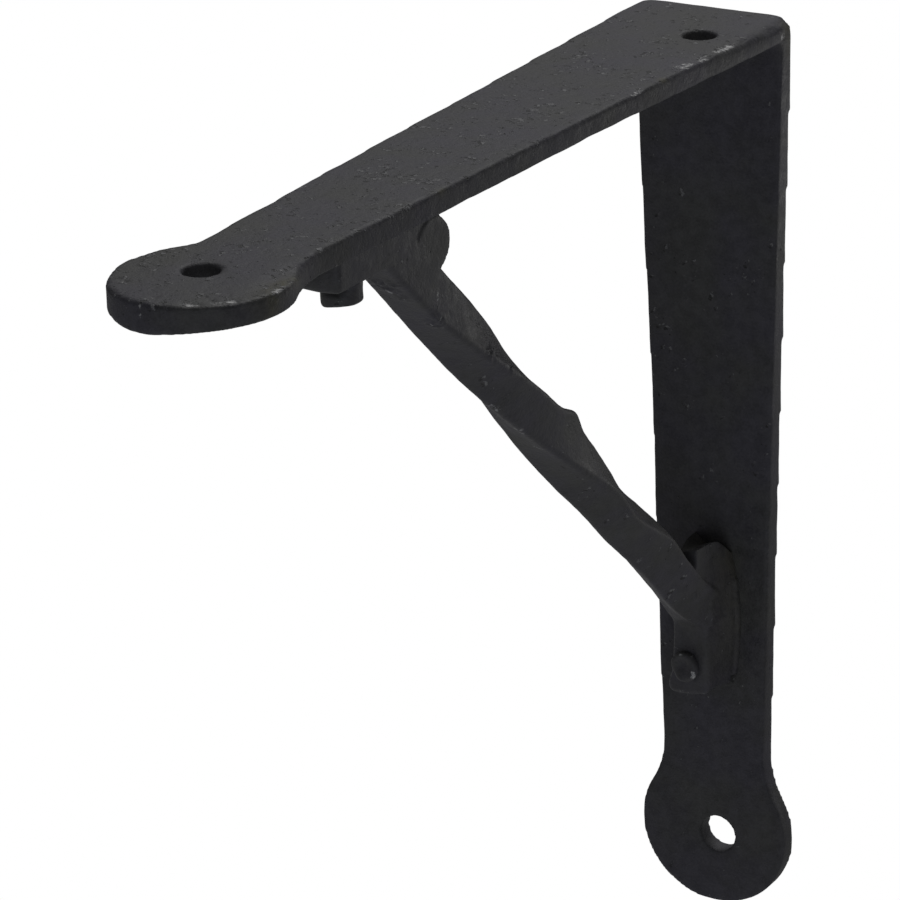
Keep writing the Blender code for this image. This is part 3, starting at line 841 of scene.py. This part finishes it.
def make_rivet(name, node_name, foot, outward_axis, head, forging, painted_highlights):
    """A shank through the bar and the pad, and a flat head that is then hammered uneven."""
    shift, radius, high, rim = head
    axis = Vector(outward_axis)
    upright = axis.to_track_quat("Z", "Y").to_euler()
    base = BAR_THICK + CLEARANCE + BRACE_SIDE
    bpy.ops.mesh.primitive_cylinder_add(vertices=RIVET_SIDES, radius=RIVET_RADIUS, depth=base,
                                        location=foot + axis * base / 2, rotation=upright)
    shank = bpy.context.object
    depth = high + HEAD_ROOT
    middle = foot + Vector(shift) + axis * (base + high - depth / 2)
    bpy.ops.mesh.primitive_cylinder_add(vertices=RIVET_SIDES, radius=radius, depth=depth,
                                        location=middle, rotation=upright)
    top = bpy.context.object
    bevel = top.modifiers.new("round_rim", "BEVEL")
    bevel.width = rim
    bevel.segments = RIM_STEPS
    apply_modifiers(top)
    rivet = join([shank, top], name)
    weld_skin(rivet, RIVET_VOXEL, RIVET_SOFTENING)
    places, outward = skin_of(rivet)
    wear_and_highlights = sharp_edges(bulge(rivet), RIVET_VOXEL, *RIVET_EDGE_WEAR)
    size, deep, seed = RIVET_HAMMERING
    relief = deep * rolling(places, size, seed)
    places = hammer(places + outward * relief[:, None], forging)
    places = np.clip(places, np.array(cad_box[0]), np.array(cad_box[1]))
    reshape(rivet, places)
    # Wear, and on the leg rivet's head painted highlights
    paint(rivet, "wear_and_highlights", wear_and_highlights + cover(places, painted_highlights))
    paint(rivet, "glint_speckled", np.full(len(places), BRACE_SPECKS))
    paint(rivet, "stained_and_lit", np.zeros(len(places)))
    rivet.data.materials.append(rivet_finish)
    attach(rivet, "root")
    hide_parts(node_name)


# Each head: its shift off the shank, its radius, how high it stands on the pad, and its rim's round
ARM_HEAD = ((0.0003, -0.0003, 0.0), 0.0029, 0.0024, 0.0004)
ARM_FORGING = (((-1.6, -111.4, -13.6), (2.0, 2.0, 1.5), (0.0, 0.0, -0.55)),
               ((0.6, -112.2, -10.8), (2.6, 1.6, 0.9), (0.0, 1.0, 0.0)))
LEG_HEAD = ((-0.0004, 0.0, -0.0004), 0.0025, 0.0013, 0.0008)
LEG_FORGING = (((-1.2, -12.2, -105.0), (1.1, 1.5, 1.1), (0.0, 0.7, 0.0)),
               ((0.4, -12.0, -106.6), (0.8, 1.0, 0.8), (0.15, -0.3, -0.1)),
               ((-2.8, -11.5, -106.5), (1.2, 1.2, 1.2), (0.3, 0.3, 0.1)))
# Painted highlights on the leg rivet's head: a glint on its lower right and another at its top
LEG_HEAD_HIGHLIGHTS = (((0.9, -11.9, -106.3), (0.5, 0.9, 0.8), 1.0),
             ((-1.3, -11.6, -103.2), (0.6, 0.7, 0.5), 0.6))
make_rivet("arm_rivet", "upper_rivet", Vector((0.0, -ARM_RIVET_OUT, TOP - SHANK_SUNK)), (0, 0, -1),
           ARM_HEAD, ARM_FORGING, ())
make_rivet("leg_rivet", "lower_rivet", Vector((-LEG_RIVET_LEFT, 0.0, TOP - LEG_RIVET_DOWN)),
           (0, -1, 0), LEG_HEAD, LEG_FORGING, LEG_HEAD_HIGHLIGHTS)
